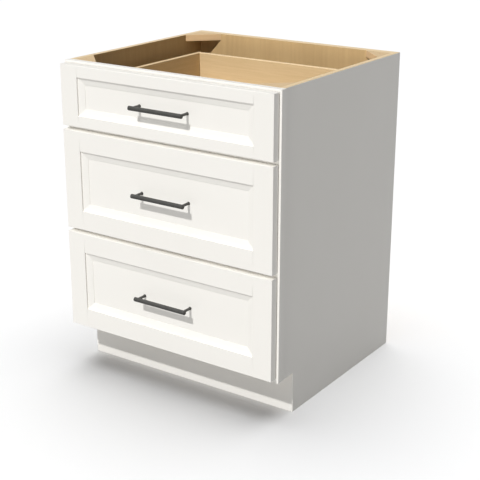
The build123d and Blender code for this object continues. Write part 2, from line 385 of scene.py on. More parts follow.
@dataclass(frozen=True)
class ClearCoatedWood:
    """Pale wood under clear lacquer, with fibres, flecks and a slow figure.

    Each noise gives its fineness along the grain, across it and through the board. A size that
    ends in tone says how much a feature darkens the wood, and one that ends in roughness how
    much it dulls the lacquer. Bands run along a board's faces, and layers along its cut edges.
    """

    name: str
    light: Colour
    dark: Colour
    fleck: Colour
    edge: Colour
    layer: float
    layer_contrast: float = 0.35
    layer_limits: Span = (0.3, 0.7)
    layer_wander: Noise = Noise((9.0, 9.0, 9.0))
    layer_wander_reach: float = 0.06
    bands: float = 55.0
    band_wander: Noise = Noise((1.3, 5.0, 5.0))
    band_wander_reach: float = 9.0
    broad: Noise = Noise((0.8, 13.0, 13.0), limits=(0.3, 0.7))
    streak: Noise = Noise((2.4, 85.0, 85.0), detail=3.0, limits=(0.3, 0.72))
    fibre: Noise = Noise((9.0, 420.0, 420.0), detail=4.0)
    fibre_limits: Span = (0.25, 0.75)
    pore: Noise = Noise((70.0, 900.0, 900.0), detail=1.0, limits=(0.62, 0.74))
    end_pore: Noise = Noise((900.0, 900.0, 900.0), detail=1.0)
    broad_tone: float = 0.35
    streak_tone: float = 0.3
    fibre_tone: float = 0.25
    band_tone: float = 0.1
    pore_tone: float = 0.3
    relief: float = 0.05 * MM
    pore_depth: float = 0.5
    roughness: float = 0.32
    fibre_roughness: float = 0.18
    pore_roughness: float = 0.1
    rim_roughness: float = 0.12

    def material(self) -> bpy.types.Material:
        """Make the wood.

        Returns:
            The material.
        """
        graph = Graph(bpy.data.materials.new(self.name))
        grain = graph.attribute("grain", "Vector")
        rim = Value(graph, graph.attribute("rim", "Fac"))
        fibre = graph.noise(grain, self.fibre)
        pore = graph.noise(grain, self.pore)
        end_pore = graph.noise(grain, self.end_pore)
        face = self.face_colour(graph, grain, fibre, pore)
        cut = self.cut_colour(graph, grain, end_pore)
        height = fibre * (1.0 - rim) + end_pore * rim - pore * self.pore_depth
        rough = fibre * self.fibre_roughness + pore * self.pore_roughness
        return graph.surface(
            {
                "Base Color": graph.mix(rim, face, cut),
                "Roughness": rough + rim * self.rim_roughness + self.roughness,
                "Normal": graph.bump(height * self.relief),
            }
        )

    def face_colour(self, graph: Graph, grain: Socket, fibre: Value, pore: Value) -> Socket:
        """Colour a board's broad faces.

        Args:
            graph: The graph that the nodes are added to.
            grain: Each point's place in the board's own wood.
            fibre: The fine fibres.
            pore: The small dark flecks.

        Returns:
            The colour.
        """
        across = graph.parts(grain)[1]
        wander = graph.noise(grain, self.band_wander)
        band = (across * self.bands + wander * self.band_wander_reach).wave()
        broad = graph.noise(grain, self.broad)
        streak = graph.noise(grain, self.streak)
        slow = broad * self.broad_tone + streak * self.streak_tone
        fine = fibre.between(*self.fibre_limits) * self.fibre_tone + band * self.band_tone
        plain = graph.mix(slow + fine, self.light, self.dark)
        return graph.mix(pore * self.pore_tone, plain, self.fleck)

    def cut_colour(self, graph: Graph, grain: Socket, end_pore: Value) -> Socket:
        """Colour a board's cut edges, which show its light and dark layers.

        Args:
            graph: The graph that the nodes are added to.
            grain: Each point's place in the board's own wood.
            end_pore: The open ends of the pores.

        Returns:
            The colour.
        """
        through = graph.parts(grain)[2]
        light_and_dark = 2 * self.layer
        wander = graph.noise(grain, self.layer_wander) * self.layer_wander_reach
        layers = (through * (1 / light_and_dark) + wander).wave()
        tone = layers.between(*self.layer_limits) * self.layer_contrast + end_pore * self.pore_tone
        return graph.mix(tone, self.edge, self.dark)


@dataclass(frozen=True)
class Metal:
    """Bare or coated metal with fine lines along one direction and soft handling marks."""

    name: str
    light: Colour
    dark: Colour
    roughness: float
    metallic: float
    lines: Noise
    marks: Noise = Noise((60.0, 60.0, 60.0), detail=3.0)
    marks_limits: Span = (0.35, 0.7)
    lines_tone: float = 0.5
    marks_tone: float = 0.5
    lines_roughness: float = 0.12
    marks_roughness: float = 0.16
    relief: float = 0.01 * MM
    gloss: float = 0.5

    def material(self) -> bpy.types.Material:
        """Make the metal.

        Returns:
            The material.
        """
        graph = Graph(bpy.data.materials.new(self.name))
        place = graph.place()
        lines = graph.noise(place, self.lines)
        marks = graph.noise(place, self.marks)
        tone = lines * self.lines_tone + marks.between(*self.marks_limits) * self.marks_tone
        rough = lines * self.lines_roughness + marks * self.marks_roughness
        return graph.surface(
            {
                "Base Color": graph.mix(tone, self.light, self.dark),
                "Metallic": self.metallic,
                "Specular IOR Level": self.gloss,
                "Roughness": rough + self.roughness,
                "Normal": graph.bump(lines * self.relief),
            }
        )


@dataclass(frozen=True)
class SoftPad:
    """Clear grey rubber with a matt, slightly cloudy skin."""

    name: str = "clear_rubber"
    body: Colour = (0.72, 0.72, 0.7)
    cloudy: Colour = (0.6, 0.6, 0.58)
    cloud: Noise = Noise((260.0, 260.0, 260.0), detail=3.0)
    grit: Noise = Noise((900.0, 900.0, 900.0))
    roughness: float = 0.35
    grit_roughness: float = 0.2
    relief: float = 0.02 * MM

    def material(self) -> bpy.types.Material:
        """Make the rubber.

        Returns:
            The material.
        """
        graph = Graph(bpy.data.materials.new(self.name))
        place = graph.place()
        grit = graph.noise(place, self.grit)
        return graph.surface(
            {
                "Base Color": graph.mix(graph.noise(place, self.cloud), self.body, self.cloudy),
                "Roughness": grit * self.grit_roughness + self.roughness,
                "Normal": graph.bump(grit * self.relief),
            }
        )


def make_finishes() -> dict[Slot, bpy.types.Material]:
    """Make the material of each slot.

    Returns:
        The materials, by slot.
    """
    plywood = ClearCoatedWood(
        name="maple_plywood",
        light=(0.525, 0.368, 0.184),
        dark=(0.42, 0.286, 0.136),
        fleck=(0.345, 0.225, 0.106),
        edge=(0.84, 0.66, 0.4),
        layer=1.6 * MM,
    )
    box_maple = ClearCoatedWood(
        name="drawer_maple",
        light=(0.625, 0.472, 0.28),
        dark=(0.512, 0.376, 0.206),
        fleck=(0.42, 0.295, 0.152),
        edge=(0.82, 0.64, 0.4),
        layer=5.0 * MM,
        layer_contrast=0.12,
        bands=70.0,
        streak=Noise((10.0, 230.0, 230.0), detail=3.0, limits=(0.3, 0.72)),
    )
    corner_wood = ClearCoatedWood(
        name="corner_block_wood",
        light=(0.64, 0.46, 0.25),
        dark=(0.53, 0.37, 0.19),
        fleck=(0.42, 0.27, 0.13),
        edge=(0.66, 0.46, 0.26),
        layer=6.0 * MM,
        layer_contrast=0.1,
        roughness=0.47,
    )
    pull_metal = Metal(
        name="dark_satin_metal",
        light=(0.11, 0.108, 0.102),
        dark=(0.082, 0.08, 0.075),
        roughness=0.28,
        metallic=0.1,
        gloss=0.1,
        lines=Noise((30.0, 1800.0, 1800.0)),
    )
    slide_steel = Metal(
        name="zinc_plated_steel",
        light=(0.43, 0.44, 0.455),
        dark=(0.32, 0.33, 0.35),
        roughness=0.32,
        metallic=1.0,
        lines=Noise((1400.0, 25.0, 1400.0)),
    )
    finishes = {
        Slot.WHITE_PAINT: SatinPaint(),
        Slot.PLYWOOD: plywood,
        Slot.BOX_MAPLE: box_maple,
        Slot.CORNER_WOOD: corner_wood,
        Slot.PULL_METAL: pull_metal,
        Slot.SLIDE_STEEL: slide_steel,
        Slot.BUMPER: SoftPad(),
    }
    return {slot: finish.material() for slot, finish in finishes.items()}


# ---------------------------------------------------------------- shapes
def lies_at(item: Edge | Face, axis: Axis, place: float) -> bool:
    """Return whether a whole edge or face is at one place along an axis."""
    return all(abs(vert.co[axis.value] - place) < COINCIDENT for vert in item.verts)


@dataclass(frozen=True)
class Grain:
    """How one board's wood runs.

    Attributes:
        along: The direction of the fibres.
        through: The direction of the board's thickness.
        low: The board's lowest corner.
        drift: How far its place in the wood is moved, so that no two boards look the same.
        square_on: How squarely a surface faces through the board to count as a broad face.
    """

    along: Axis
    through: Axis
    low: Vector
    drift: Vector
    square_on: ClassVar[float] = 0.9

    def place(self, point: Vector) -> Vector:
        """Place a point in the board's own wood.

        Args:
            point: The point.

        Returns:
            Its distances along the grain, across it and through the board.
        """
        offset = point - self.low
        across = ({0, 1, 2} - {self.along.value, self.through.value}).pop()
        order = (self.along.value, across, self.through.value)
        return Vector([offset[number] for number in order]) + self.drift

    def is_face(self, normal: Vector) -> bool:
        """Return whether a surface with that normal is one of the board's two broad faces."""
        return abs(normal[self.through.value]) > self.square_on


class Shape:
    """A mesh in the making, whose boards remember how their grain runs."""

    drifts: ClassVar[random.Random] = random.Random(27)
    drift_reach: ClassVar[float] = 4.0
    mirror_drift: ClassVar[Vector] = Vector((1.7, 2.3, 0.0))
    sharp_angle: ClassVar[float] = math.radians(50)

    def __init__(self) -> None:
        """Start an empty mesh."""
        self.mesh = bmesh.new()
        self.owner = self.mesh.verts.layers.int.new("board")
        self.grains: list[Grain] = []

    def own(self, verts: Iterable[Vert], along: Axis, through: Axis) -> None:
        """Give a board's points their grain, which starts at a place of its own.

        Args:
            verts: The board's points.
            along: The direction of the grain.
            through: The direction of the board's thickness.
        """
        verts = list(verts)
        low = Vector([min(vert.co[number] for vert in verts) for number in range(3)])
        drift_along = self.drifts.uniform(0, self.drift_reach)
        drift_across = self.drifts.uniform(0, self.drift_reach)
        for vert in verts:
            vert[self.owner] = len(self.grains)
        self.grains.append(Grain(along, through, low, Vector((drift_along, drift_across, 0.0))))

    def block(self, low: Vector, high: Vector, along: Axis, through: Axis) -> "Shape":
        """Add a square-edged board.

        Args:
            low: Its lowest corner.
            high: Its highest corner.
            along: The direction of the grain.
            through: The direction of the board's thickness.

        Returns:
            This shape.
        """
        place = Matrix.Translation((low + high) / 2) @ Matrix.Diagonal((*(high - low), 1.0))
        made = bmesh.ops.create_cube(self.mesh, size=1.0, matrix=place)
        self.own(made["verts"], along, through)
        return self

    def extrude(self, faces: Iterable[Face], travel: Vector) -> list[Vert]:
        """Extrude faces.

        Args:
            faces: The faces, which stay where they are.
            travel: How far and which way their copies move.

        Returns:
            The new points.
        """
        made = bmesh.ops.extrude_face_region(self.mesh, geom=list(faces))
        moved = [item for item in made["geom"] if isinstance(item, Vert)]
        bmesh.ops.translate(self.mesh, verts=moved, vec=travel)
        return moved

    def sink(self, faces: Sequence[Face], travel: Vector) -> list[Vert]:
        """Push faces into the solid as open pockets.

        Args:
            faces: The faces.
            travel: How far and which way they move.

        Returns:
            The new points.
        """
        moved = self.extrude(faces, travel)
        bmesh.ops.delete(self.mesh, geom=list(faces), context="FACES_ONLY")
        return moved

    def split(self, chosen: FaceTest, normal: Axis, place: float) -> None:
        """Cut the chosen faces along a plane.

        Args:
            chosen: A test that a face has to pass.
            normal: The direction that the plane is square to.
            place: Where the plane is along that direction.
        """
        faces = [face for face in self.mesh.faces if chosen(face)]
        edges = list(dict.fromkeys(edge for face in faces for edge in face.edges))
        verts = list(dict.fromkeys(vert for face in faces for vert in face.verts))
        bmesh.ops.bisect_plane(
            self.mesh,
            geom=faces + edges + verts,
            dist=COINCIDENT,
            plane_co=normal.unit * place,
            plane_no=normal.unit,
        )

    def prism(
        self, outline: Sequence[Point], axis: Axis, start: float, end: float, along: Axis, through: Axis
    ) -> "Shape":
        """Add a board with any outline.

        Args:
            outline: The corners, measured along the two other directions in their order.
            axis: The direction that the outline is extruded along.
            start: Where the extrusion starts.
            end: Where it ends.
            along: The direction of the grain.
            through: The direction of the board's thickness.

        Returns:
            This shape.
        """
        verts = []
        for pair in outline:
            corner = axis.unit * start
            for number, value in zip(axis.others, pair):
                corner[number] = value
            verts.append(self.mesh.verts.new(corner))
        face = self.mesh.faces.new(verts)
        self.own(verts + self.extrude([face], axis.unit * (end - start)), along, through)
        return self

    def rod(self, axis: Axis, centre: Vector, radius: float, length: float, sides: int) -> "Shape":
        """Add a round bar.

        Args:
            axis: The direction that it runs in.
            centre: Its middle.
            radius: Its radius.
            length: Its length.
            sides: How many faces it has around.

        Returns:
            This shape.
        """
        turn = UP.rotation_difference(axis.unit).to_matrix().to_4x4()
        made = bmesh.ops.create_cone(
            self.mesh,
            cap_ends=True,
            cap_tris=False,
            segments=sides,
            radius1=radius,
            radius2=radius,
            depth=length,
            matrix=Matrix.Translation(centre) @ turn,
        )
        self.own(made["verts"], axis, Axis(axis.others[0]))
        return self

    def turned(self, axis: Axis, centre: Vector, profile: Sequence[Point], sides: int) -> "Shape":
        """Add a solid of revolution.

        Args:
            axis: The direction of its axis.
            centre: A point on its axis.
            profile: Pairs of radius and distance along the axis from centre, end to end.
            sides: How many faces it has around.

        Returns:
            This shape.
        """
        before = set(self.mesh.verts)
        out = Axis(axis.others[0]).unit
        verts = [
            self.mesh.verts.new(centre + out * radius + axis.unit * along)
            for radius, along in profile
        ]
        edges = [self.mesh.edges.new(pair) for pair in zip(verts, verts[1:])]
        bmesh.ops.spin(
            self.mesh,
            geom=verts + edges,
            cent=centre,
            axis=axis.unit,
            dvec=(0, 0, 0),
            angle=math.tau,
            steps=sides,
            use_merge=True,
            use_normal_flip=False,
            use_duplicate=False,
        )
        made = [vert for vert in self.mesh.verts if vert not in before]
        bmesh.ops.remove_doubles(self.mesh, verts=made, dist=COINCIDENT)
        made = [vert for vert in self.mesh.verts if vert not in before]
        self.own(made, axis, Axis(axis.others[0]))
        return self

    def soften(
        self, width: float, segments: int = 2, least_angle: float = 25.0, where: EdgeTest | None = None
    ) -> "Shape":
        """Round the sharp edges.

        Args:
            width: How far each rounding reaches from its edge.
            segments: How many faces each rounding has.
            least_angle: The least bend, in degrees, that counts as sharp.
            where: A further test that an edge has to pass.

        Returns:
            This shape.
        """
        bmesh.ops.recalc_face_normals(self.mesh, faces=self.mesh.faces)
        edges = [
            edge
            for edge in self.mesh.edges
            if edge.is_manifold
            and edge.calc_face_angle() > math.radians(least_angle)
            and (where is None or where(edge))
        ]
        bmesh.ops.bevel(
            self.mesh,
            geom=edges,
            offset=width,
            offset_type="OFFSET",
            segments=segments,
            profile=0.5,
            affect="EDGES",
            material=-1,
            clamp_overlap=True,
        )
        return self

    def mirrored(self) -> "Shape":
        """Add the same pieces on the cabinet's other side, with grain of their own.

        Returns:
            This shape.
        """
        count = len(self.grains)
        made = bmesh.ops.mirror(
            self.mesh,
            geom=self.mesh.verts[:] + self.mesh.edges[:] + self.mesh.faces[:],
            axis="X",
            merge_dist=-1.0,
        )
        for item in made["geom"]:
            if isinstance(item, Vert):
                item[self.owner] += count
        for grain in self.grains[:count]:
            drift = grain.drift + self.mirror_drift
            self.grains.append(Grain(grain.along, grain.through, grain.low, drift))
        return self

    def to_mesh(self, name: str) -> bpy.types.Mesh:
        """Finish the mesh, with its grain and the share of each face that is a rim.

        Args:
            name: The mesh's name.

        Returns:
            The mesh.
        """
        bmesh.ops.remove_doubles(self.mesh, verts=self.mesh.verts, dist=COINCIDENT)
        bmesh.ops.recalc_face_normals(self.mesh, faces=self.mesh.faces)
        self.mesh.normal_update()
        self.mesh.verts.index_update()
        places: list[float] = []
        for vert in self.mesh.verts:
            places.extend(self.grains[vert[self.owner]].place(vert.co))
        rims = []
        for face in self.mesh.faces:
            grain = self.grains[face.verts[0][self.owner]]
            rims.append(0.0 if grain.is_face(face.normal) else 1.0)
        self.mesh.verts.layers.int.remove(self.owner)
        mesh = bpy.data.meshes.new(name)
        self.mesh.to_mesh(mesh)
        self.mesh.free()
        mesh.attributes.new("grain", "FLOAT_VECTOR", "POINT").data.foreach_set("vector", places)
        mesh.attributes.new("rim", "FLOAT", "FACE").data.foreach_set("value", rims)
        mesh.shade_smooth()
        mesh.set_sharp_from_angle(angle=self.sharp_angle)
        return mesh


@dataclass
class Workshop:
    """Turns shapes into pieces that ride on their body and wear their slot's finish."""

    finishes: dict[Slot, bpy.types.Material]
    slots: dict[str, Slot] = field(init=False)
    pieces: dict[Slot, list[Item]] = field(init=False)

    def __post_init__(self) -> None:
        """Read each node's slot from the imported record."""
        rows = frame["record"]["subparts"]
        self.slots = {row["node"]: Slot(row["material_slot"]) for row in rows}
        self.pieces = {slot: [] for slot in Slot}

    def piece(self, shape: Shape, name: str, body: str, slot: Slot) -> Item:
        """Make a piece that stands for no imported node.

        Args:
            shape: Its mesh in the making.
            name: The piece's name.
            body: The body that it rides on.
            slot: The record's slot that its finish comes from.

        Returns:
            The new object.
        """
        item = bpy.data.objects.new(name, shape.to_mesh(name))
        bpy.context.scene.collection.objects.link(item)
        item.data.materials.append(self.finishes[slot])
        even = item.modifiers.new("even_shading", "WEIGHTED_NORMAL")
        even.keep_sharp = True
        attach(item, body)
        self.pieces[slot].append(item)
        LOG.info("%s: %d faces on %s, %s", name, len(item.data.polygons), body, slot)
        return item

    def stand_for(self, node: str, shape: Shape) -> Item:
        """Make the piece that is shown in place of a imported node.

        Args:
            node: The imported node.
            shape: The piece's mesh in the making.

        Returns:
            The new object.
        """
        body = frame["nodes"][node]["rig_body"]
        item = self.piece(shape, f"{node}.finished", body, self.slots[node])
        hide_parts(node)
        return item

    def named(self, words: str) -> list[Item]:
        """Return the pieces whose names hold those words."""
        return [item for items in self.pieces.values() for item in items if words in item.name]

    def wearing(self, *slots: Slot) -> list[Item]:
        """Return the pieces of those slots."""
        return [item for slot in slots for item in self.pieces[slot]]


# ---------------------------------------------------------------- carcass
@dataclass
class Carcass:
    """The box that stands still: sides, skins, bottom, back, rails, toe board, blocks, cleats."""

    shop: Workshop
    ease: float = 0.4 * MM
    paint_ease: float = 0.6 * MM
    notch_round: float = 1.5 * MM
    edge_on: float = 0.7  # how squarely a face looks up, down or back to count as an edge's
    block_leg: float = 76.2 * MM
    block_ease: float = 0.8 * MM
    hole_radius: float = 2.5 * MM
    hole_inset: float = 22.0 * MM
    hole_sides: int = 20

    def build(self) -> None:
        """Make every board of the carcass."""
        self.side_panels()
        self.end_skins()
        self.plain_boards()
        self.toe_board()
        self.corner_blocks()
        self.slide_cleats()

    def notched_board(self, node: str, notch_back: float) -> Shape:
        """Make a side's board, whose lower front corner is cut away for the toe space.

        Args:
            node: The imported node.
            notch_back: Where the notch ends.

        Returns:
            The board, with square edges.
        """
        low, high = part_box(node)
        notch_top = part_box("frame_rail_bottom")[0].z
        outline = [
            (notch_back, low.z),
            (high.y, low.z),
            (high.y, high.z),
            (low.y, high.z),
            (low.y, notch_top),
            (notch_back, notch_top),
        ]
        return Shape().prism(outline, Axis.X, low.x, high.x, Axis.Z, Axis.X)

    def side_panels(self) -> None:
        """Make the plywood sides, which the toe board covers in front."""
        toe_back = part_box("toe_kick_board")[1].y
        for side in Side:
            node = f"side_panel_{side}"
            self.shop.stand_for(node, self.notched_board(node, toe_back).soften(self.ease))

    def end_skins(self) -> None:
        """Make the painted skins, which cover the toe board's ends and are rounded there."""
        toe_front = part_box("toe_kick_board")[0].y
        for side in Side:
            node = f"end_skin_{side}"
            outer = max((corner.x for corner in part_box(node)), key=abs)
            shape = self.notched_board(node, toe_front)
            shape.soften(self.notch_round, segments=4, where=self.at_notch(toe_front, outer))
            self.bare_edges(self.shop.stand_for(node, shape.soften(self.ease)))

    @staticmethod
    def at_notch(notch_back: float, outer: float) -> EdgeTest:
        """Return a test for the upright edge at the back of a skin's notch, on its outer face."""
        return lambda edge: lies_at(edge, Axis.Y, notch_back) and lies_at(edge, Axis.X, outer)

    def bare_edges(self, board: Item) -> None:
        """Leave the wood bare on a painted board's upper, lower and back edges.

        Args:
            board: The painted board.
        """
        board.data.materials.append(self.shop.finishes[Slot.PLYWOOD])
        for face in board.data.polygons:
            if abs(face.normal.z) > self.edge_on or face.normal.y > self.edge_on:
                face.material_index = 1

    def plain_boards(self) -> None:
        """Make the square boards between the sides."""
        low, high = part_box("bottom_panel")
        low.x, high.x = (corner.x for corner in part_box("hanging_rail_top"))
        bottom = Shape().block(low, high, Axis.X, Axis.Z)
        self.shop.stand_for("bottom_panel", bottom.soften(self.ease))
        for node in ("back_panel", "hanging_rail_top", "hanging_rail_bottom"):
            board = Shape().block(*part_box(node), Axis.Z, Axis.Y)
            self.shop.stand_for(node, board.soften(self.ease))

    def toe_board(self) -> None:
        """Make the toe board, whose middle rises between the sides to the bottom panel."""
        low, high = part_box("toe_kick_board")
        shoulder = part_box("frame_rail_bottom")[0].z
        inner_low, inner_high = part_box("hanging_rail_top")
        outline = [
            (low.x, low.z),
            (high.x, low.z),
            (high.x, shoulder),
            (inner_high.x, shoulder),
            (inner_high.x, high.z),
            (inner_low.x, high.z),
            (inner_low.x, shoulder),
            (low.x, shoulder),
        ]
        shape = Shape().prism(outline, Axis.Y, low.y, high.y, Axis.X, Axis.Y)
        self.shop.stand_for("toe_kick_board", shape.soften(self.paint_ease))

    def corner_blocks(self) -> None:
        """Make the four triangular blocks, each with a hole for a countertop screw."""
        low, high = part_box("corner_blocks")
        shape = Shape()
        for wall_y, inward in ((low.y, 1.0), (high.y, -1.0)):
            self.corner_block(shape, Vector((high.x, wall_y, low.z)), inward, high.z - low.z)
        self.shop.stand_for("corner_blocks", shape.soften(self.block_ease).mirrored())

    def corner_block(self, shape: Shape, corner: Vector, inward: float, height: float) -> None:
        """Add one right-hand block to a shape.

        Args:
            shape: The mesh that it is added to.
            corner: The block's lower corner, between its two walls.
            inward: 1 if the cabinet's middle lies towards the wall, and -1 if it lies away.
            height: The block's thickness.
        """
        mesh = shape.mesh
        across, inwards = Vector((-1, 0, 0)), Vector((0, inward, 0))
        ends = (Vector(), across * self.block_leg, inwards * self.block_leg)
        verts = [mesh.verts.new(corner + end) for end in ends]
        edges = [mesh.edges.new((verts[number - 1], verts[number])) for number in range(3)]
        ring = bmesh.ops.create_circle(
            mesh,
            cap_ends=False,
            segments=self.hole_sides,
            radius=self.hole_radius,
            matrix=Matrix.Translation(corner + (across + inwards) * self.hole_inset),
        )["verts"]
        edges += list({edge for vert in ring for edge in vert.link_edges})
        made = bmesh.ops.triangle_fill(mesh, use_beauty=True, use_dissolve=False, edges=edges)
        faces = [item for item in made["geom"] if isinstance(item, Face)]
        top = shape.extrude(faces, UP * height)
        shape.own(verts + list(ring) + top, Axis.X, Axis.Z)

    def slide_cleats(self) -> None:
        """Make the strips that pack the slides out, a pair for each drawer."""
        low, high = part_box("slide_cleats")
        low.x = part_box("frame_stile_right")[0].x
        half_height = self.slide_middle(Drawer.BOTTOM) - low.z
        shape = Shape()
        for drawer in Drawer:
            low.z = self.slide_middle(drawer) - half_height
            high.z = self.slide_middle(drawer) + half_height
            shape.block(low, high, Axis.Y, Axis.X)
        self.shop.stand_for("slide_cleats", shape.soften(self.ease).mirrored())

    @staticmethod
    def slide_middle(drawer: Drawer) -> float:
        """Return the height of the middle of a drawer's slides."""
        return sum(corner.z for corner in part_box(f"{drawer}_slide_cabinet_members")) / 2


@dataclass
class FaceFrame:
    """The painted frame on the cabinet's front."""

    shop: Workshop
    ease: float = 0.7 * MM
    rails: tuple[str, ...] = ("top", "upper_middle", "lower_middle", "bottom")

    def build(self) -> None:
        """Make the two stiles and the four rails between them."""
        for side in Side:
            node = f"frame_stile_{side}"
            stile = Shape().block(*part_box(node), Axis.Z, Axis.Y)
            self.shop.stand_for(node, stile.soften(self.ease, segments=3))
        for place in self.rails:
            node = f"frame_rail_{place}"
            rail = Shape().block(*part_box(node), Axis.X, Axis.Y)
            self.shop.stand_for(node, rail.soften(self.ease, segments=3, where=self.is_long))

    @staticmethod
    def is_long(edge: Edge) -> bool:
        """Return whether an edge runs along a rail, not round the joint at its end."""
        return abs(edge.verts[0].co.x - edge.verts[1].co.x) > COINCIDENT


# ---------------------------------------------------------------- drawers
@dataclass
class DrawerFront:
    """One drawer's front: two stiles, two rails with a sloping border, and a flat panel.

    The opening is what the stiles and rails leave at the face, and the border slopes inwards
    from it to the panel. Both are symmetric about the cabinet's middle.
    """

    shop: Workshop
    drawer: Drawer
    step_depth: float = 4.0 * MM
    slope_drop: float = 5.2 * MM
    slope_run: float = 19.5 * MM
    outer_round: float = 1.6 * MM
    arris_round: float = 0.5 * MM
    panel_ease: float = 0.2 * MM
    bumper_radius: float = 5.0 * MM
    bumper_sides: int = 24
    bumper_dome: float = 0.55

    def __post_init__(self) -> None:
        """Take the front's outline and the opening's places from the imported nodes.

        The panel runs as far behind the rails as it runs behind the stiles, which gives the
        width of the rails.
        """
        node = f"{self.drawer}_drawer_front"
        self.low, self.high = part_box(f"{node}_stiles")
        self.open_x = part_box(f"{node}_rails")[1].x
        self.panel_x = self.open_x - self.slope_run
        panel_low, panel_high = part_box(f"{node}_panel")
        self.panel_face, self.panel_back = panel_low.y, panel_high.y
        behind = -panel_low.x - self.panel_x
        rail_width = panel_low.z + behind - self.slope_run - self.low.z
        self.open_low = self.low.z + rail_width
        self.open_high = self.high.z - rail_width

    def build(self) -> None:
        """Make the front's pieces."""
        node = f"{self.drawer}_drawer_front"
        self.shop.stand_for(f"{node}_stiles", self.stile().mirrored())
        self.shop.stand_for(f"{node}_rails", self.rails())
        self.shop.stand_for(f"{node}_panel", self.panel())
        self.shop.stand_for(f"{self.drawer}_drawer_bumpers", self.bumpers())

    def member(
        self, shape: Shape, flat: Sequence[Point], border: Sequence[Point], along: Axis
    ) -> None:
        """Add one member of the front.

        Args:
            shape: The mesh that it is added to.
            flat: The flat part's corners in X and Z, of which the first two meet the border.
            border: The two inner corners of the sloping border, beside those two.
            along: The direction of the grain.
        """
        mesh = shape.mesh
        step_y = self.low.y + self.step_depth

        def corners(pairs: Sequence[Point], depth: float) -> list[Vert]:
            """Return new points at one depth."""
            return [mesh.verts.new((x, depth, z)) for x, z in pairs]

        face = corners(flat, self.low.y)
        step = corners(flat[:2], step_y)
        slope = corners(border, step_y + self.slope_drop)
        skins = [
            mesh.faces.new(face),
            mesh.faces.new([face[0], face[1], step[1], step[0]]),
            mesh.faces.new([step[0], step[1], slope[1], slope[0]]),
        ]
        back = shape.extrude(skins, Vector())
        for vert in back:
            vert.co.y = self.high.y
        bmesh.ops.remove_doubles(mesh, verts=back, dist=COINCIDENT)
        bmesh.ops.dissolve_degenerate(mesh, dist=COINCIDENT, edges=mesh.edges)
        made = [vert for vert in face + step + slope + back if vert.is_valid]
        shape.own(made, along, Axis.Y)

    def rounded(self, shape: Shape) -> Shape:
        """Round a member's outer edges, and its arris at the opening a little less.

        Args:
            shape: The members.

        Returns:
            The same shape.
        """

        shape.soften(self.outer_round, segments=4, where=self.is_outer)
        return shape.soften(self.arris_round, segments=2, where=self.is_arris)

    def is_outer(self, edge: Edge) -> bool:
        """Tell the outer edges of the front's face from the others.

        Args:
            edge: The edge.

        Returns:
            Whether it is one of them.
        """
        at_side = lies_at(edge, Axis.X, self.high.x)
        at_end = any(lies_at(edge, Axis.Z, corner.z) for corner in (self.low, self.high))
        return lies_at(edge, Axis.Y, self.low.y) and (at_side or at_end)

    def is_arris(self, edge: Edge) -> bool:
        """Tell the face's edges along the opening from the others.

        Args:
            edge: The edge.

        Returns:
            Whether it is one of them.
        """
        ends = [vert.co for vert in edge.verts]
        beside = all(abs(end.x) < self.open_x + COINCIDENT for end in ends)
        above = all(end.z > self.open_low - COINCIDENT for end in ends)
        below = all(end.z < self.open_high + COINCIDENT for end in ends)
        return lies_at(edge, Axis.Y, self.low.y) and beside and above and below

    def stile(self) -> Shape:
        """Make the right stile.

        Returns:
            The stile.
        """
        flat = [
            (self.open_x, self.open_low),
            (self.open_x, self.open_high),
            (self.open_x, self.high.z),
            (self.high.x, self.high.z),
            (self.high.x, self.low.z),
            (self.open_x, self.low.z),
        ]
        border = [
            (self.panel_x, self.open_low + self.slope_run),
            (self.panel_x, self.open_high - self.slope_run),
        ]
        shape = Shape()
        self.member(shape, flat, border, Axis.Z)
        return self.rounded(shape)

    def rails(self) -> Shape:
        """Make the lower and the upper rail.

        Returns:
            The rails.
        """
        shape = Shape()
        lower = (self.low.z, self.open_low, self.open_low + self.slope_run)
        upper = (self.high.z, self.open_high, self.open_high - self.slope_run)
        for edge_z, open_z, panel_z in (lower, upper):
            flat = [
                (self.open_x, open_z),
                (-self.open_x, open_z),
                (-self.open_x, edge_z),
                (self.open_x, edge_z),
            ]
            border = [(self.panel_x, panel_z), (-self.panel_x, panel_z)]
            self.member(shape, flat, border, Axis.X)
        return self.rounded(shape)

    def panel(self) -> Shape:
        """Make the flat panel inside the border.

        Returns:
            The panel.
        """
        low = Vector((-self.panel_x, self.panel_face, self.open_low + self.slope_run))
        high = Vector((self.panel_x, self.panel_back, self.open_high - self.slope_run))
        return Shape().block(low, high, Axis.X, Axis.Y).soften(self.panel_ease, segments=1)

    def bumpers(self) -> Shape:
        """Make the four soft pads on the front's back, domed towards the face frame.

        Returns:
            The pads.
        """
        low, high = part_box(f"{self.drawer}_drawer_bumpers")
        radius, height = self.bumper_radius, high.y - low.y
        shape = Shape()
        for z in (low.z + radius, high.z - radius):
            centre = Vector((high.x - radius, (low.y + high.y) / 2, z))
            shape.rod(Axis.Y, centre, radius, height, self.bumper_sides)
        shape.soften(
            height * self.bumper_dome, segments=4, where=lambda edge: lies_at(edge, Axis.Y, high.y)
        )
        return shape.mirrored()


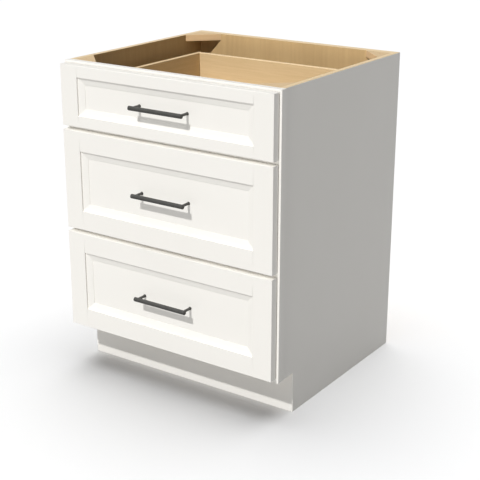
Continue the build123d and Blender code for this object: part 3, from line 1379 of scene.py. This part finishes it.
@dataclass
class DrawerBox:
    """One drawer's maple box: front, back, two sides and a thin bottom."""

    shop: Workshop
    drawer: Drawer
    board: float = 12.7 * MM
    top_round: float = 2.2 * MM
    ease: float = 0.5 * MM

    def build(self) -> None:
        """Make the box's boards."""
        node = f"{self.drawer}_drawer_box"
        front_low, front_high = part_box(f"{node}_front")
        back_low, back_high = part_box(f"{node}_back")
        front = Shape().block(front_low, front_high, Axis.X, Axis.Y)
        self.shop.stand_for(f"{node}_front", self.eased(front))
        back = Shape().block(back_low, back_high, Axis.X, Axis.Y)
        self.shop.stand_for(f"{node}_back", self.eased(back))
        low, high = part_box(f"{node}_sides")
        low.x = high.x - self.board
        side = Shape().block(low, high, Axis.Y, Axis.X)
        self.shop.stand_for(f"{node}_sides", self.eased(side).mirrored())
        low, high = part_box(f"{node}_bottom")
        low.x, high.x = front_low.x, front_high.x
        low.y, high.y = front_high.y, back_low.y
        self.shop.stand_for(f"{node}_bottom", Shape().block(low, high, Axis.X, Axis.Z))

    def eased(self, shape: Shape) -> Shape:
        """Round a board's top edges over, and ease its lower ones.

        Args:
            shape: The board.

        Returns:
            The same shape.
        """
        top = max(vert.co.z for vert in shape.mesh.verts)

        def is_top(edge: Edge) -> bool:
            """Return whether an edge lies along the board's top."""
            return lies_at(edge, Axis.Z, top) and edge.calc_length() > 2 * self.board

        def is_lower(edge: Edge) -> bool:
            """Return whether an edge is one of the others."""
            return not is_top(edge)

        shape.soften(self.top_round, segments=3, where=is_top)
        return shape.soften(self.ease, segments=1, least_angle=SQUARE_CORNER, where=is_lower)


@dataclass
class Pull:
    """One drawer's bar pull: a round bar on two posts, held by screws from inside the box."""

    shop: Workshop
    drawer: Drawer
    spacing: float = 152.4 * MM
    bar_sides: int = 48
    end_round: float = 1.0 * MM
    post_radius: float = 4.5 * MM
    post_sides: int = 32
    neck_radius: float = 3.6 * MM
    collar_height: float = 2.2 * MM
    collar_slope: float = 0.9 * MM
    collar_round: float = 0.3 * MM
    shank_radius: float = 2.08 * MM
    shank_sides: int = 16
    head_radius: float = 4.2 * MM
    head_height: float = 2.6 * MM
    head_sides: int = 24
    slot_width: float = 1.1 * MM
    slot_depth: float = 1.2 * MM
    slot_margin: float = 0.77 * MM

    def build(self) -> None:
        """Make the bar, its posts and its screws."""
        node = f"{self.drawer}_drawer_pull"
        low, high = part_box(f"{node}_bar")
        centre = (low + high) / 2
        bar = Shape().rod(Axis.X, centre, (high.z - low.z) / 2, high.x - low.x, self.bar_sides)
        bar.soften(self.end_round, segments=3, least_angle=SQUARE_CORNER)
        self.shop.stand_for(f"{node}_bar", bar)
        self.shop.stand_for(f"{node}_posts", self.posts(centre))
        self.shop.stand_for(f"{node}_screws", self.screws())

    def posts(self, bar_centre: Vector) -> Shape:
        """Make the two posts, which widen to a collar on the panel.

        Args:
            bar_centre: The middle of the bar.

        Returns:
            The posts.
        """
        panel_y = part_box(f"{self.drawer}_drawer_pull_posts")[1].y
        foot = Vector((self.spacing / 2, panel_y, bar_centre.z))
        length = panel_y - bar_centre.y
        profile = [
            (0.0, 0.0),
            (self.post_radius - self.collar_round, 0.0),
            (self.post_radius, -self.collar_round),
            (self.post_radius, -self.collar_height),
            (self.neck_radius, -self.collar_height - self.collar_slope),
            (self.neck_radius, -length),
            (0.0, -length),
        ]
        return Shape().turned(Axis.Y, foot, profile, self.post_sides).mirrored()

    def screws(self) -> Shape:
        """Make the two screws, with slotted heads inside the box.

        Returns:
            The screws.
        """
        low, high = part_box(f"{self.drawer}_drawer_pull_screws")
        shank_end = high.y - self.head_height
        middle = Vector((self.spacing / 2, (low.y + shank_end) / 2, (low.z + high.z) / 2))
        head = Vector((middle.x, high.y - self.head_height / 2, middle.z))
        shape = Shape()
        shape.rod(Axis.Y, middle, self.shank_radius, shank_end - low.y, self.shank_sides)
        shape.rod(Axis.Y, head, self.head_radius, self.head_height, self.head_sides)
        self.cut_slot(shape, high.y, middle.z)
        return shape.mirrored()

    def cut_slot(self, shape: Shape, face_y: float, z: float) -> None:
        """Sink a driver slot into a screw head that faces the back.

        Args:
            shape: The mesh with the head.
            face_y: Where the head's flat face is.
            z: The height of the slot's middle.
        """

        half_width = self.slot_width / 2

        def on_head(face: Face) -> bool:
            """Return whether a face lies on the head's flat face."""
            return lies_at(face, Axis.Y, face_y)

        def in_slot(face: Face) -> bool:
            """Return whether a face of the head is the slot's, not a sliver at its ends."""
            inside = all(abs(vert.co.z - z) < half_width + COINCIDENT for vert in face.verts)
            return on_head(face) and inside and face.calc_area() > self.slot_width**2

        flat = [face for face in shape.mesh.faces if on_head(face)]
        bmesh.ops.inset_individual(shape.mesh, faces=flat, thickness=self.slot_margin, depth=0.0)
        for edge_z in (z - half_width, z + half_width):
            shape.split(on_head, Axis.Z, edge_z)
        slot = [face for face in shape.mesh.faces if in_slot(face)]
        shape.sink(slot, Axis.Y.unit * -self.slot_depth)


@dataclass
class Slide:
    """One drawer's pair of steel slides, each of three nested channels, and their screws."""

    shop: Workshop
    drawer: Drawer
    sheet: float = 1.2 * MM
    bend_round: float = 2.2 * MM
    ease: float = 0.15 * MM
    cabinet_gap: float = 2.2 * MM
    middle_gap: float = 1.9 * MM
    slot_places: tuple[float, ...] = (0.15, 0.23, 0.36, 0.64, 0.77, 0.85)
    slot_length: float = 13.0 * MM
    slot_height: float = 5.0 * MM
    screw_places: tuple[float, ...] = (0.08, 0.5, 0.92)
    screw_radius: float = 3.6 * MM
    screw_height: float = 1.8 * MM
    screw_round: float = 1.2 * MM
    screw_sides: int = 20

    def build(self) -> None:
        """Make the three members of both slides and the drawer members' screws."""
        box_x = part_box(f"{self.drawer}_drawer_box_sides")[1].x
        gaps = {Member.CABINET: self.cabinet_gap, Member.MIDDLE: self.middle_gap, Member.DRAWER: 0.0}
        for member, gap in gaps.items():
            node = f"{self.drawer}_slide_{member}_members"
            low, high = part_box(node)
            low.x = box_x + gap
            shape = self.channel(low, high, opens_out=member is Member.DRAWER)
            self.punch(shape, low, high, near_box=member is Member.DRAWER)
            self.shop.stand_for(node, shape.mirrored())
        self.screws(box_x)

    def channel(self, low: Vector, high: Vector, opens_out: bool) -> Shape:
        """Make a channel of bent sheet.

        Args:
            low: The lowest corner of the channel's box.
            high: The highest corner.
            opens_out: Whether its open side faces the cabinet's side.

        Returns:
            The right-hand channel.
        """
        web, tip = (low.x, high.x) if opens_out else (high.x, low.x)
        inner = web + (self.sheet if opens_out else -self.sheet)
        outline = [
            (tip, low.z),
            (web, low.z),
            (web, high.z),
            (tip, high.z),
            (tip, high.z - self.sheet),
            (inner, high.z - self.sheet),
            (inner, low.z + self.sheet),
            (tip, low.z + self.sheet),
        ]
        shape = Shape().prism(outline, Axis.Y, low.y, high.y, Axis.Y, Axis.X)

        def is_bend(edge: Edge) -> bool:
            """Return whether an edge runs along the outside of one of the sheet's two bends."""
            return lies_at(edge, Axis.X, web) and edge.calc_length() > high.y - low.y - COINCIDENT

        shape.soften(self.bend_round, segments=4, where=is_bend)
        return shape.soften(self.ease, segments=1, least_angle=SQUARE_CORNER)

    def punch(self, shape: Shape, low: Vector, high: Vector, near_box: bool) -> None:
        """Cut a row of slots through a channel's web.

        Args:
            shape: The right-hand channel.
            low: The lowest corner of the channel's box.
            high: The highest corner.
            near_box: Whether the web is on the side of the drawer's box.
        """
        mesh = shape.mesh
        near_x = low.x if near_box else high.x - self.sheet
        far_x = low.x + self.sheet if near_box else high.x
        middle, half_height = (low.z + high.z) / 2, self.slot_height / 2
        length = high.y - low.y
        starts = [low.y + share * length - self.slot_length / 2 for share in self.slot_places]

        def on_web(face: Face) -> bool:
            """Return whether a face is on either side of the web."""
            return lies_at(face, Axis.X, near_x) or lies_at(face, Axis.X, far_x)

        def in_slot(point: Vector) -> bool:
            """Return whether a point on the web is inside one of the slots."""
            in_row = abs(point.z - middle) < half_height
            return in_row and any(start < point.y < start + self.slot_length for start in starts)

        def slot_faces(x: float) -> list[Face]:
            """Return the faces at that place that the slots take away."""
            inside = [face for face in mesh.faces if in_slot(face.calc_center_median())]
            return [face for face in inside if lies_at(face, Axis.X, x)]

        for z in (middle - half_height, middle + half_height):
            shape.split(on_web, Axis.Z, z)
        for start in starts:
            shape.split(on_web, Axis.Y, start)
            shape.split(on_web, Axis.Y, start + self.slot_length)
        far = slot_faces(far_x)
        moved = set(shape.sink(slot_faces(near_x), Axis.X.unit * (far_x - near_x)))
        ends = [face for face in mesh.faces if all(vert in moved for vert in face.verts)]
        bmesh.ops.delete(mesh, geom=far + ends, context="FACES_ONLY")

    def screws(self, box_x: float) -> None:
        """Make the low-headed screws that hold the drawer members to the box.

        Args:
            box_x: Where the outer face of the box's right side is.
        """
        low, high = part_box(f"{self.drawer}_slide_drawer_members")
        web_x = box_x + self.sheet
        shape = Shape()
        for share in self.screw_places:
            y = low.y + share * (high.y - low.y)
            centre = Vector((web_x + self.screw_height / 2, y, (low.z + high.z) / 2))
            shape.rod(Axis.X, centre, self.screw_radius, self.screw_height, self.screw_sides)
        head_x = web_x + self.screw_height
        shape.soften(self.screw_round, segments=3, where=lambda edge: lies_at(edge, Axis.X, head_x))
        name = f"{self.drawer}_slide_screws"
        self.shop.piece(shape.mirrored(), name, f"{self.drawer}_drawer", Slot.SLIDE_STEEL)


# ---------------------------------------------------------------- studio
def towards(azimuth: float, elevation: float) -> Vector:
    """Find a direction from the cabinet.

    Args:
        azimuth: Degrees to the right of straight in front of it.
        elevation: Degrees above level.

    Returns:
        The direction, one metre long.
    """
    turn, tilt = math.radians(azimuth), math.radians(elevation)
    level = math.cos(tilt)
    return Vector((math.sin(turn) * level, -math.cos(turn) * level, math.sin(tilt)))


@dataclass(frozen=True)
class Lamp:
    """A distant lamp, placed by the direction that its light comes from.

    Attributes:
        name: Its name.
        azimuth: Degrees to the right of straight in front of the cabinet.
        elevation: Degrees above level.
        strength: The light on a surface that faces it, of which 1 shows colours as written.
        spread: How wide it looks, in degrees.
        glossy: Whether it shows as a highlight.
        lights_only: The groups that it lights, where it doesn't light everything.
        leaves_dark: The groups that it doesn't light.
        passes: The groups that cast no shadow in it.
    """

    name: str
    azimuth: float
    elevation: float
    strength: float
    spread: float
    glossy: bool = True
    lights_only: tuple[Group, ...] = ()
    leaves_dark: tuple[Group, ...] = ()
    passes: tuple[Group, ...] = ()

    def build(self, groups: dict[Group, list[Item]]) -> None:
        """Make the lamp.

        Args:
            groups: The objects of each group.
        """
        data = bpy.data.lights.new(self.name, "SUN")
        data.energy = self.strength * math.pi
        data.angle = math.radians(self.spread)
        lamp = bpy.data.objects.new(self.name, data)
        lamp.rotation_mode = "QUATERNION"
        lamp.rotation_quaternion = towards(self.azimuth, self.elevation).to_track_quat("Z", "Y")
        lamp.visible_glossy = self.glossy
        bpy.context.scene.collection.objects.link(lamp)
        lit = [item for group in self.lights_only for item in groups[group]]
        unlit = [item for group in self.leaves_dark for item in groups[group]]
        passed = [item for group in self.passes for item in groups[group]]
        linking = lamp.light_linking
        if lit:
            linking.receiver_collection = self.linked("lights", lit, "INCLUDE")
        if unlit:
            linking.receiver_collection = self.linked("lights", unlit, "EXCLUDE")
        if passed:
            linking.blocker_collection = self.linked("blockers", passed, "EXCLUDE")

    def linked(self, purpose: str, items: Sequence[Item], state: str) -> bpy.types.Collection:
        """Make a collection that has the lamp heed only those objects, or all but those.

        Args:
            purpose: What it is for, as part of its name.
            items: The objects.
            state: INCLUDE for only those, and EXCLUDE for all but those.

        Returns:
            The collection.
        """
        linked = bpy.data.collections.new(f"{self.name}_{purpose}")
        for item in items:
            linked.objects.link(item)
        for row in linked.collection_objects:
            row.light_linking.link_state = state
        return linked


@dataclass
class Studio:
    """A pale floor, soft lamps, a white surround and the camera."""

    groups: dict[Group, list[Item]]
    key_azimuth: float = -1.1
    key_elevation: float = 46.2
    key_spread: float = 1.6
    floor_size: float = 60.0
    floor_cells: int = 4
    floor_colour: Colour = (0.8, 0.8, 0.8)
    floor_cloud_colour: Colour = (0.79, 0.79, 0.79)
    floor_cloud: Noise = Noise((0.7, 0.7, 0.7))
    floor_cloud_tone: float = 0.01
    floor_glow: float = 0.12
    floor_bounce: Colour = (0.23, 0.23, 0.23)
    sky: Colour = (0.12, 0.123, 0.13)
    ground: Colour = (0.12, 0.12, 0.12)
    horizon: Span = (-0.6, 0.8)
    white: Colour = (1.0, 1.0, 1.0)
    azimuth: float = 34.482
    elevation: float = 19.408
    roll: float = 0.076
    distance: float = 3.2338
    target: tuple[float, float, float] = (0.0, 0.04894, 0.34189)
    focal_length: float = 84.28
    sensor_width: float = 36.0

    def build(self) -> None:
        """Make the floor, the lamps, the surround and the camera."""
        bpy.context.scene.view_settings.view_transform = "Standard"
        self.groups[Group.FLOOR] = [self.floor()]
        for lamp in self.lamps():
            lamp.build(self.groups)
        self.surround()
        self.camera()

    def lamps(self) -> list[Lamp]:
        """Choose the lamps.

        The floor has a lamp of its own, and the ceiling lamp reaches into the narrow gaps
        between the fronts.

        Returns:
            The lamps.
        """
        floor, pulls, fronts, wood = Group.FLOOR, Group.PULLS, Group.FRONTS, Group.WOOD
        key = (self.key_azimuth, self.key_elevation)
        return [
            Lamp("key", *key, strength=0.7, spread=self.key_spread, leaves_dark=(floor,)),
            Lamp("wood_key", *key, strength=0.5, spread=self.key_spread, lights_only=(wood,)),
            Lamp(
                "ceiling",
                azimuth=0.0,
                elevation=87.0,
                strength=0.24,
                spread=12.0,
                leaves_dark=(floor, wood),
                passes=(fronts,),
            ),
            Lamp(
                "front_fill",
                azimuth=4.0,
                elevation=-1.0,
                strength=0.345,
                spread=10.0,
                glossy=False,
                leaves_dark=(floor, pulls),
                passes=(floor, pulls),
            ),
            Lamp(
                "side_fill",
                azimuth=106.0,
                elevation=-11.0,
                strength=0.19,
                spread=20.0,
                leaves_dark=(floor, pulls),
                passes=(floor, pulls),
            ),
            Lamp(
                "rear_fill",
                azimuth=212.0,
                elevation=-11.0,
                strength=0.53,
                spread=22.0,
                glossy=False,
                leaves_dark=(floor,),
                passes=(floor, pulls),
            ),
            Lamp(
                "overhead",
                azimuth=200.0,
                elevation=81.0,
                strength=1.01,
                spread=64.0,
                lights_only=(floor,),
            ),
        ]

    @staticmethod
    def seen_rays(graph: Graph) -> Value:
        """Return 1 for rays from the camera and those that metal or glass sends on.

        Args:
            graph: The graph that the nodes are added to.

        Returns:
            1 or 0.
        """
        paths = graph.node("ShaderNodeLightPath").outputs
        camera, glossy = Value(graph, paths["Is Camera Ray"]), Value(graph, paths["Is Glossy Ray"])
        through = Value(graph, paths["Is Transmission Ray"])
        return graph.math("MINIMUM", camera + glossy + through, 1.0)

    def floor(self) -> Item:
        """Make the floor, which looks white and keeps the cabinet's soft shadow.

        Returns:
            The floor.
        """
        graph = Graph(bpy.data.materials.new("pale_floor"))
        cloud = graph.noise(graph.place(), self.floor_cloud) * self.floor_cloud_tone
        tint = graph.mix(cloud, self.floor_colour, self.floor_cloud_colour)
        pale = graph.node("ShaderNodeBsdfDiffuse", inputs={"Color": tint})
        glow = graph.node("ShaderNodeEmission", inputs={"Strength": self.floor_glow})
        shown = graph.node("ShaderNodeAddShader", inputs={0: pale.outputs[0], 1: glow.outputs[0]})
        muted = graph.node("ShaderNodeBsdfDiffuse", inputs={"Color": self.floor_bounce})
        shaders = {0: self.seen_rays(graph), 1: muted.outputs[0], 2: shown.outputs[0]}
        both = graph.node("ShaderNodeMixShader", inputs=shaders)
        graph.node("ShaderNodeOutputMaterial", inputs={"Surface": both.outputs[0]})
        mesh = bmesh.new()
        cells = self.floor_cells
        bmesh.ops.create_grid(mesh, x_segments=cells, y_segments=cells, size=self.floor_size / 2)
        data = bpy.data.meshes.new("floor")
        mesh.to_mesh(data)
        mesh.free()
        floor = bpy.data.objects.new("floor", data)
        bpy.context.scene.collection.objects.link(floor)
        data.materials.append(graph.owner)
        return floor

    def surround(self) -> None:
        """Light softly from all round, a little more from above, and show white behind."""
        world = bpy.data.worlds.new("surround")
        bpy.context.scene.world = world
        graph = Graph(world)
        height = graph.parts(graph.node("ShaderNodeTexCoord").outputs["Generated"])[2]
        soft = graph.mix(height.between(*self.horizon), self.ground, self.sky)
        ambient = graph.node("ShaderNodeBackground", inputs={"Color": soft, "Strength": 1.0})
        white = graph.node("ShaderNodeBackground", inputs={"Color": self.white, "Strength": 1.0})
        shaders = {0: self.seen_rays(graph), 1: ambient.outputs[0], 2: white.outputs[0]}
        both = graph.node("ShaderNodeMixShader", inputs=shaders)
        graph.node("ShaderNodeOutputWorld", inputs={"Surface": both.outputs[0]})

    def camera(self) -> None:
        """Make the camera at the fitted place."""
        data = bpy.data.cameras.new("camera")
        data.lens = self.focal_length
        data.sensor_width = self.sensor_width
        camera = bpy.data.objects.new("camera", data)
        bpy.context.scene.collection.objects.link(camera)
        back = towards(self.azimuth, self.elevation)
        right = UP.cross(back).normalized()
        up = back.cross(right)
        turn = Matrix((right, up, back)).transposed().to_4x4()
        roll = Matrix.Rotation(math.radians(self.roll), 4, "Z")
        place = Matrix.Translation(Vector(self.target) + back * self.distance)
        camera.matrix_world = place @ turn @ roll
        bpy.context.scene.camera = camera


def main() -> None:
    """Build the cabinet, one sub-assembly after another, and then the studio."""
    logging.basicConfig(level=logging.INFO, format="%(name)s: %(message)s")
    shop = Workshop(make_finishes())
    Carcass(shop).build()
    FaceFrame(shop).build()
    for drawer in Drawer:
        DrawerFront(shop, drawer).build()
        DrawerBox(shop, drawer).build()
        Pull(shop, drawer).build()
        Slide(shop, drawer).build()
    groups = {
        Group.PULLS: shop.named("_pull_"),
        Group.FRONTS: shop.named("_front_"),
        Group.WOOD: shop.wearing(Slot.PLYWOOD, Slot.BOX_MAPLE, Slot.CORNER_WOOD),
    }
    Studio(groups).build()
    LOG.info("%d pieces made", len(shop.wearing(*Slot)))


if __name__ == "__main__":
    main()
